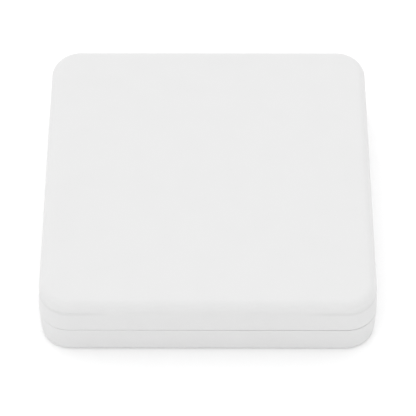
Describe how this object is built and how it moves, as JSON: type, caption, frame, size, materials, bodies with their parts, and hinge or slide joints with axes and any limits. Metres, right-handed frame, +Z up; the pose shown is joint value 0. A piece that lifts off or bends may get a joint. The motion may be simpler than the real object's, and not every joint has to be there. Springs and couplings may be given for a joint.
{
  "type": "wireless charging pad",
  "caption": "Square white desk charging pad: two-shell housing with rounded corners and a soft top edge, parting line, rear cable inlet and rubber feet.",
  "frame": {"origin": "centre of the footprint, on the plane that the rubber feet stand on", "axes": "+Z up out of the charging surface; +Y out of the rear wall, through the cable inlet; -Y is the front; +X to the right seen from the front"},
  "size_m": [0.09, 0.09, 0.0196],
  "materials": {
    "shell_plastic": "white satin ABS with a fine moulded texture",
    "foot_rubber": "grey matt silicone rubber",
    "tray_plastic": "unpainted natural ABS",
    "coil_copper": null,
    "litz_sleeve": "served litz bundle with tinned ends",
    "adhesive_tape": "double-sided adhesive tape",
    "ferrite": "sintered ferrite, dark grey",
    "sheet_aluminium": "rolled sheet",
    "foam": "closed-cell foam pad",
    "sensor_coating": "blue epoxy coating",
    "board_laminate": "glass-epoxy laminate under green solder mask",
    "tin_plate": "drawn and tin-plated sheet steel",
    "black_resin": "moulded black resin",
    "tantalum_case": "moulded yellow case",
    "capacitor_ceramic": "ceramic chip",
    "clear_resin": "clear moulded resin",
    "zinc_plated_steel": "zinc-plated plate",
    "screw_steel": "zinc-plated screw"
  },
  "bodies": {
    "root": {"base_weight": "zinc_plated_steel", "board_screw_1": "screw_steel", "board_screw_2": "screw_steel", "board_screw_3": "screw_steel", "board_screw_4": "screw_steel", "bottom_shell": "shell_plastic", "bridge_chip_1": "black_resin", "bridge_chip_2": "black_resin", "bulk_capacitor_1": "tantalum_case", "bulk_capacitor_2": "tantalum_case", "charging_coil": "coil_copper", "coil_lead_1": "litz_sleeve", "coil_lead_2": "litz_sleeve", "coil_tape": "adhesive_tape", "coil_tray": "tray_plastic", "controller_chip": "black_resin", "crystal": "tin_plate", "ferrite_sheet": "ferrite", "foam_pad": "foam", "foot_1": "foot_rubber", "foot_2": "foot_rubber", "foot_3": "foot_rubber", "foot_4": "foot_rubber", "housing_screw_1": "screw_steel", "housing_screw_2": "screw_steel", "housing_screw_3": "screw_steel", "housing_screw_4": "screw_steel", "inlet_shell": "tin_plate", "inlet_tongue": "black_resin", "input_filter": "ferrite", "light_pipe": "clear_resin", "main_board": "board_laminate", "power_inductor": "ferrite", "protection_diode": "black_resin", "resonance_capacitor_1": "capacitor_ceramic", "resonance_capacitor_2": "capacitor_ceramic", "resonance_capacitor_3": "capacitor_ceramic", "resonance_capacitor_4": "capacitor_ceramic", "sensor_bead": "sensor_coating", "sensor_lead_1": "sensor_coating", "sensor_lead_2": "sensor_coating", "shield_plate": "sheet_aluminium", "status_led": "clear_resin", "top_shell": "shell_plastic", "tray_screw_1": "screw_steel", "tray_screw_2": "screw_steel", "tray_screw_3": "screw_steel", "tray_screw_4": "screw_steel", "weight_tape": "adhesive_tape"}
  },
  "joints": []
}
